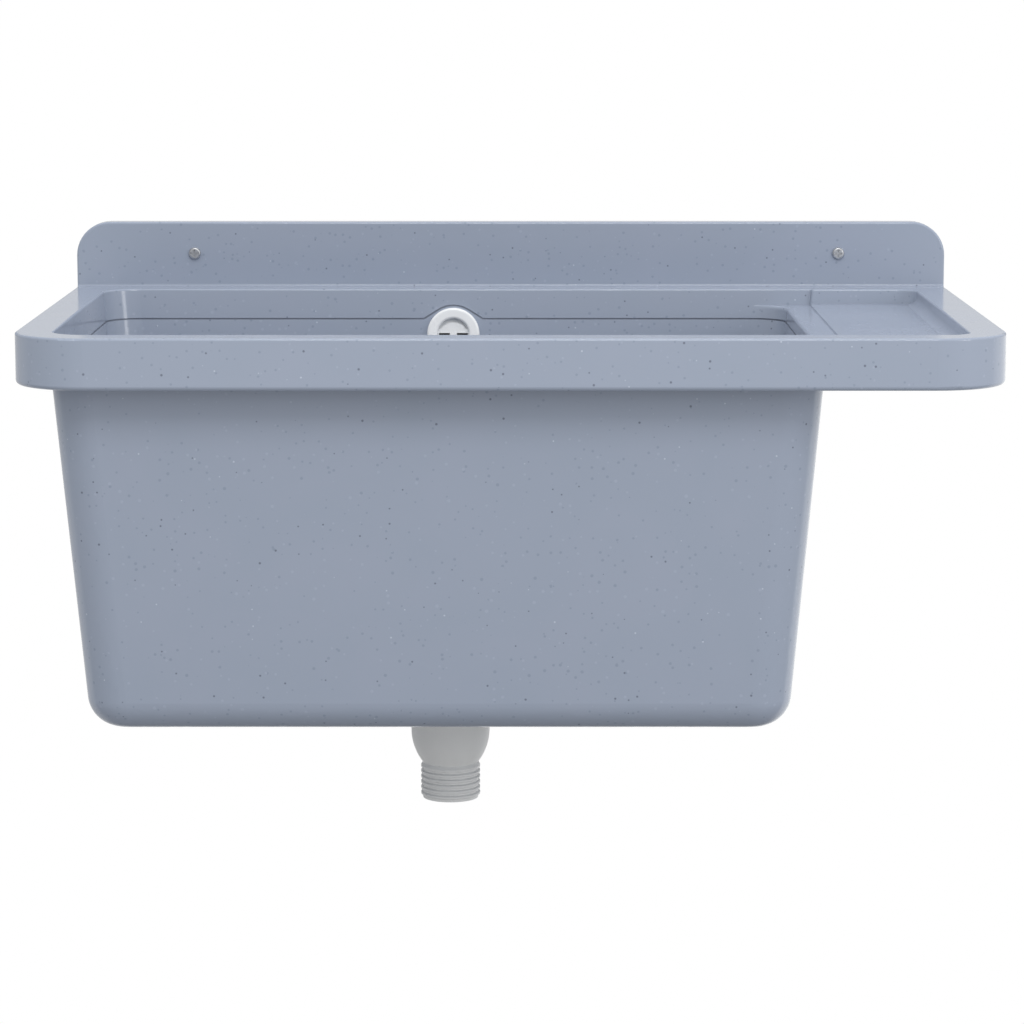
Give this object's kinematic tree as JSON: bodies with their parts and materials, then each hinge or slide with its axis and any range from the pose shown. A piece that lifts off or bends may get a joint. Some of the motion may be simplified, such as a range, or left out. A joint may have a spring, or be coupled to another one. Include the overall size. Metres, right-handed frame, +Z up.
{
  "type": "utility sink",
  "caption": "Wall-hung moulded utility sink with a deep tapered tub, a side soap tray, an upstand for wall screws, an overflow and a threaded bottom waste with a lift-out plug.",
  "frame": {"origin": "on the wall plane, at rim level, at the middle of the rim's width", "axes": "+X to the right seen from the front, +Y towards the wall, +Z up"},
  "size_m": [0.65, 0.437, 0.3946],
  "materials": {
    "resin": "glossy cast resin, blue-grey with fine dark and light specks",
    "bead": "matt blue-grey adhesive bead",
    "screw_steel": "dull zinc-plated steel",
    "white_plastic": "smooth white plastic",
    "rubber": "matt black rubber",
    "grey_plastic": "satin pale grey moulded plastic",
    "strainer_steel": "turned and polished stainless steel",
    "brass": "machined brass",
    "plug_rubber": "smooth dark rubber"
  },
  "bodies": {
    "sink": {"sink_top": "resin", "basin_tub": "resin", "bond_bead": "bead", "wall_screw_left": "screw_steel", "wall_screw_right": "screw_steel", "overflow_cover": "white_plastic", "overflow_seal": "rubber", "overflow_elbow": "grey_plastic", "elbow_nut": "grey_plastic", "elbow_ring": "rubber", "overflow_pipe": "grey_plastic", "inlet_nut": "grey_plastic", "inlet_ring": "rubber", "waste_strainer": "strainer_steel", "strainer_seal": "rubber", "waste_seal": "rubber", "waste_body": "grey_plastic", "waste_insert": "brass", "waste_screw": "screw_steel"},
    "plug": {"drain_plug": "plug_rubber", "plug_pull": "white_plastic"}
  },
  "joints": [
    {"name": "plug_lift", "type": "slide", "parent": "sink", "child": "plug", "axis": [0, 0, 1], "range_m": [0, 0.3]}
  ]
}
